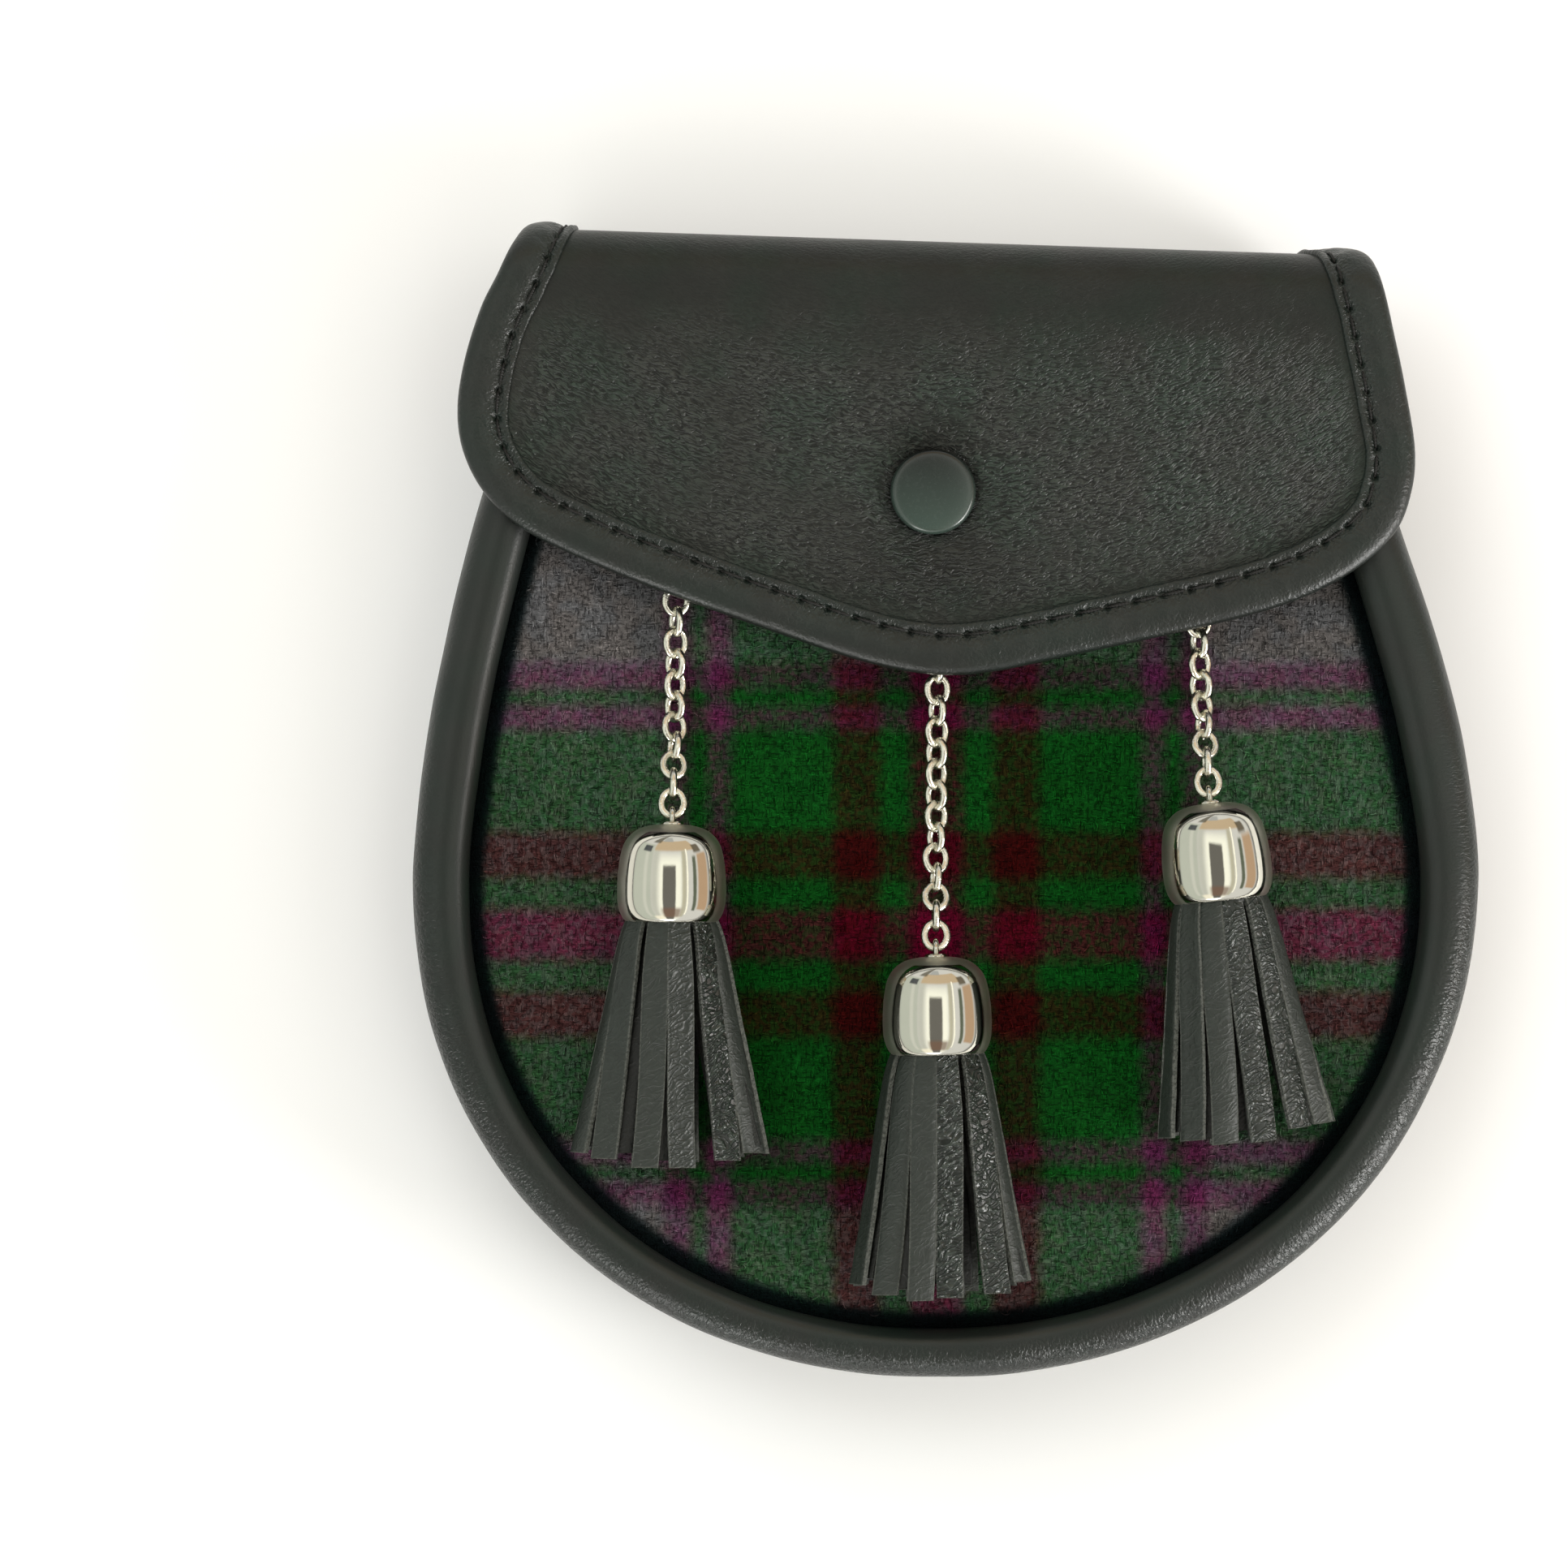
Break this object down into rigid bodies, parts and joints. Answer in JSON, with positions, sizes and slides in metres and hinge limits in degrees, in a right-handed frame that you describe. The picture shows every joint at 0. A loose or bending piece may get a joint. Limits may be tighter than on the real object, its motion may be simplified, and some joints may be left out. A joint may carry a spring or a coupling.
{
  "type": "sporran pouch",
  "caption": "Round-bottomed black leather sporran pouch with a tartan front, a bound flap with a snap, and bell-topped leather tassels on chains.",
  "frame": {"origin": "under the middle of the pouch, on the surface that it lies on with its front up", "axes": "+X to the right across the front, +Y up to the flap's fold, +Z out of the front"},
  "size_m": [0.1871, 0.2028, 0.0491],
  "materials": {
    "tartan_cloth": "woollen tartan, green, grey, red and purple",
    "rim_leather": "smooth black leather over a cord, soft sheen",
    "gusset_leather": "smooth black leather",
    "back_leather": "plain black leather",
    "flap_leather": "fine-grained black leather, satin",
    "binding_leather": "folded black leather strip, stitched",
    "snap_enamel": "dark grey-green enamel, glossy",
    "snap_metal": "plain metal",
    "chain_metal": "bright nickel plate",
    "bell_nickel": "polished bright nickel plate",
    "fringe_leather": "black leather strips, some smooth and some crinkled"
  },
  "bodies": {
    "root": {"tartan_front": "tartan_cloth", "front_rim": "rim_leather", "back_rim": "rim_leather", "gusset": "gusset_leather", "back_panel": "back_leather", "belt_loop_left": "back_leather", "belt_loop_right": "back_leather", "flap": "flap_leather", "flap_binding": "binding_leather", "snap_cap": "snap_enamel", "snap_stud": "snap_metal", "chain_anchor_left": "chain_metal", "chain_left": "chain_metal", "bell_left": "bell_nickel", "fringe_left": "fringe_leather", "chain_anchor_middle": "chain_metal", "chain_middle": "chain_metal", "bell_middle": "bell_nickel", "fringe_middle": "fringe_leather", "chain_anchor_right": "chain_metal", "chain_right": "chain_metal", "bell_right": "bell_nickel", "fringe_right": "fringe_leather"}
  },
  "joints": []
}
